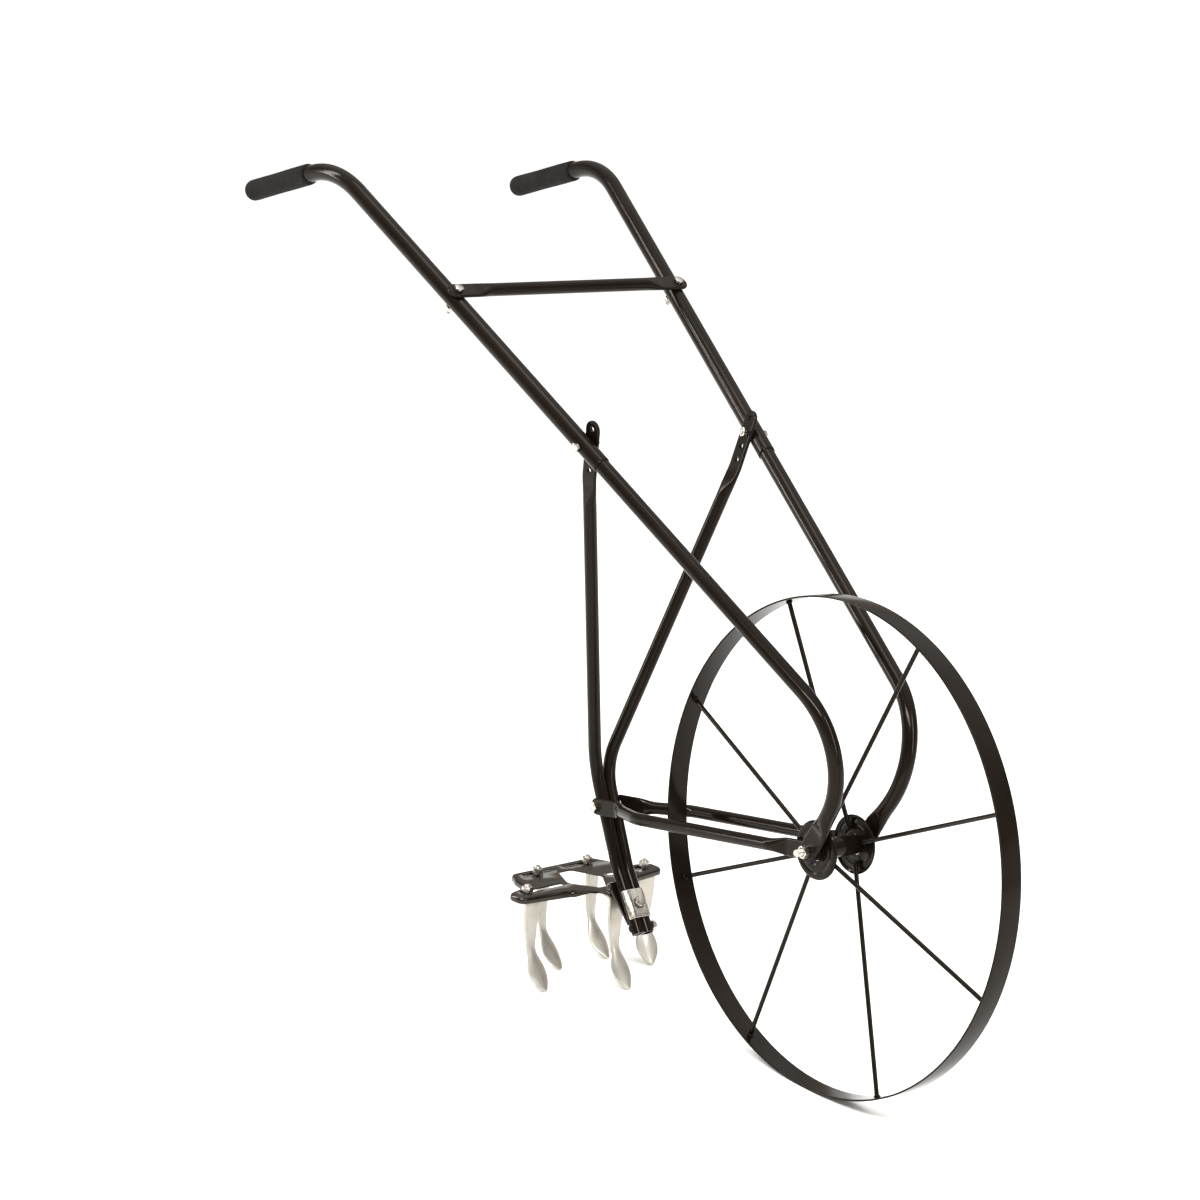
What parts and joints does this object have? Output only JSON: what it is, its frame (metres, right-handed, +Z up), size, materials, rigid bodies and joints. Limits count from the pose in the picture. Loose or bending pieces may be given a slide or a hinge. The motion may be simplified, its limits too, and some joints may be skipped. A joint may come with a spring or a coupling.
{
  "type": "wheel cultivator",
  "caption": "Garden cultivator with a tall spoked wheel, two plough handles and a slotted plate of shovel tines.",
  "frame": {"origin": "on the ground, under the middle of the bounding box", "axes": "+X forward, the way it is pushed; +Y to the user's left; +Z up"},
  "size_m": [1.3485, 0.4656, 0.9935],
  "materials": {
    "black_enamel": "gloss black enamel",
    "zinc_plated_steel": "zinc plated",
    "silver_paint": "satin silver paint",
    "grip_rubber": "matt",
    "sintered_bronze": "oiled"
  },
  "bodies": {
    "frame": {"axle_sleeve": "zinc_plated_steel", "axle_bolt": "zinc_plated_steel", "axle_nut": "zinc_plated_steel", "lower_handle_left": "black_enamel", "lower_handle_right": "black_enamel", "upper_handle_left": "black_enamel", "upper_handle_right": "black_enamel", "grip_left": "grip_rubber", "grip_right": "grip_rubber", "crossbar": "black_enamel", "crossbar_bolt_left": "zinc_plated_steel", "crossbar_bolt_right": "zinc_plated_steel", "crossbar_nut_left": "zinc_plated_steel", "crossbar_nut_right": "zinc_plated_steel", "brace_left": "black_enamel", "brace_right": "black_enamel", "brace_bolt_left": "zinc_plated_steel", "brace_bolt_right": "zinc_plated_steel", "brace_nut_left": "zinc_plated_steel", "brace_nut_right": "zinc_plated_steel", "stay_left": "black_enamel", "stay_right": "black_enamel", "stay_bolt": "zinc_plated_steel", "stay_nut": "zinc_plated_steel", "tool_clamp": "zinc_plated_steel", "clamp_bolt": "zinc_plated_steel", "clamp_nut": "zinc_plated_steel", "foot_bolt": "black_enamel", "foot_nut": "zinc_plated_steel", "tool_plate": "black_enamel", "tool_shank": "black_enamel", "tine_bolt_3": "zinc_plated_steel", "tine_nut_3": "zinc_plated_steel"},
    "wheel": {"wheel_rim": "black_enamel", "spoke_1": "black_enamel", "spoke_2": "black_enamel", "spoke_3": "black_enamel", "spoke_4": "black_enamel", "spoke_5": "black_enamel", "spoke_6": "black_enamel", "spoke_7": "black_enamel", "spoke_8": "black_enamel", "hub_barrel": "black_enamel", "hub_flange_left": "black_enamel", "hub_flange_right": "black_enamel", "hub_bush_left": "sintered_bronze", "hub_bush_right": "sintered_bronze"},
    "tine_fixing_1": {"tine_bolt_1": "zinc_plated_steel", "tine_nut_1": "zinc_plated_steel"},
    "tine_fixing_2": {"tine_bolt_2": "zinc_plated_steel", "tine_nut_2": "zinc_plated_steel"},
    "tine_fixing_4": {"tine_bolt_4": "zinc_plated_steel", "tine_nut_4": "zinc_plated_steel"},
    "tine_fixing_5": {"tine_bolt_5": "zinc_plated_steel", "tine_nut_5": "zinc_plated_steel"},
    "tine_1": {"tine_1": "silver_paint"},
    "tine_2": {"tine_2": "silver_paint"},
    "tine_3": {"tine_3": "silver_paint"},
    "tine_4": {"tine_4": "silver_paint"},
    "tine_5": {"tine_5": "silver_paint"}
  },
  "joints": [
    {"name": "wheel_spin", "type": "hinge", "parent": "frame", "child": "wheel", "pos_m": [0.3694, 0, 0.3048], "axis": [0, 1, 0], "continuous": true},
    {"name": "tine_1_slide", "type": "slide", "parent": "frame", "child": "tine_fixing_1", "axis": [-0.1167, 0.9932, 0], "range_m": [-0.0037, 0.0602]},
    {"name": "tine_2_slide", "type": "slide", "parent": "frame", "child": "tine_fixing_2", "axis": [-0.1167, 0.9932, 0], "range_m": [-0.0198, 0.0266]},
    {"name": "tine_4_slide", "type": "slide", "parent": "frame", "child": "tine_fixing_4", "axis": [-0.1167, 0.9932, 0], "range_m": [-0.039, 0.0074]},
    {"name": "tine_5_slide", "type": "slide", "parent": "frame", "child": "tine_fixing_5", "axis": [-0.1167, 0.9932, 0], "range_m": [-0.0652, 0.0002]},
    {"name": "tine_1_turn", "type": "hinge", "parent": "tine_fixing_1", "child": "tine_1", "pos_m": [-0.0733, -0.11686, 0.1143], "axis": [0, 0, 1], "range_deg": [-11, 11]},
    {"name": "tine_2_turn", "type": "hinge", "parent": "tine_fixing_2", "child": "tine_2", "pos_m": [-0.1301, -0.05849, 0.1143], "axis": [0, 0, 1], "range_deg": [-29, 5]},
    {"name": "tine_3_turn", "type": "hinge", "parent": "frame", "child": "tine_3", "pos_m": [-0.03592, -0.00826, 0.1143], "axis": [0, 0, 1], "range_deg": [-4, 8]},
    {"name": "tine_4_turn", "type": "hinge", "parent": "tine_fixing_4", "child": "tine_4", "pos_m": [-0.14062, 0.03109, 0.1143], "axis": [0, 0, 1], "range_deg": [-22, 10]},
    {"name": "tine_5_turn", "type": "hinge", "parent": "tine_fixing_5", "child": "tine_5", "pos_m": [-0.09804, 0.09369, 0.1143], "axis": [0, 0, 1], "range_deg": [-1, 30]}
  ]
}
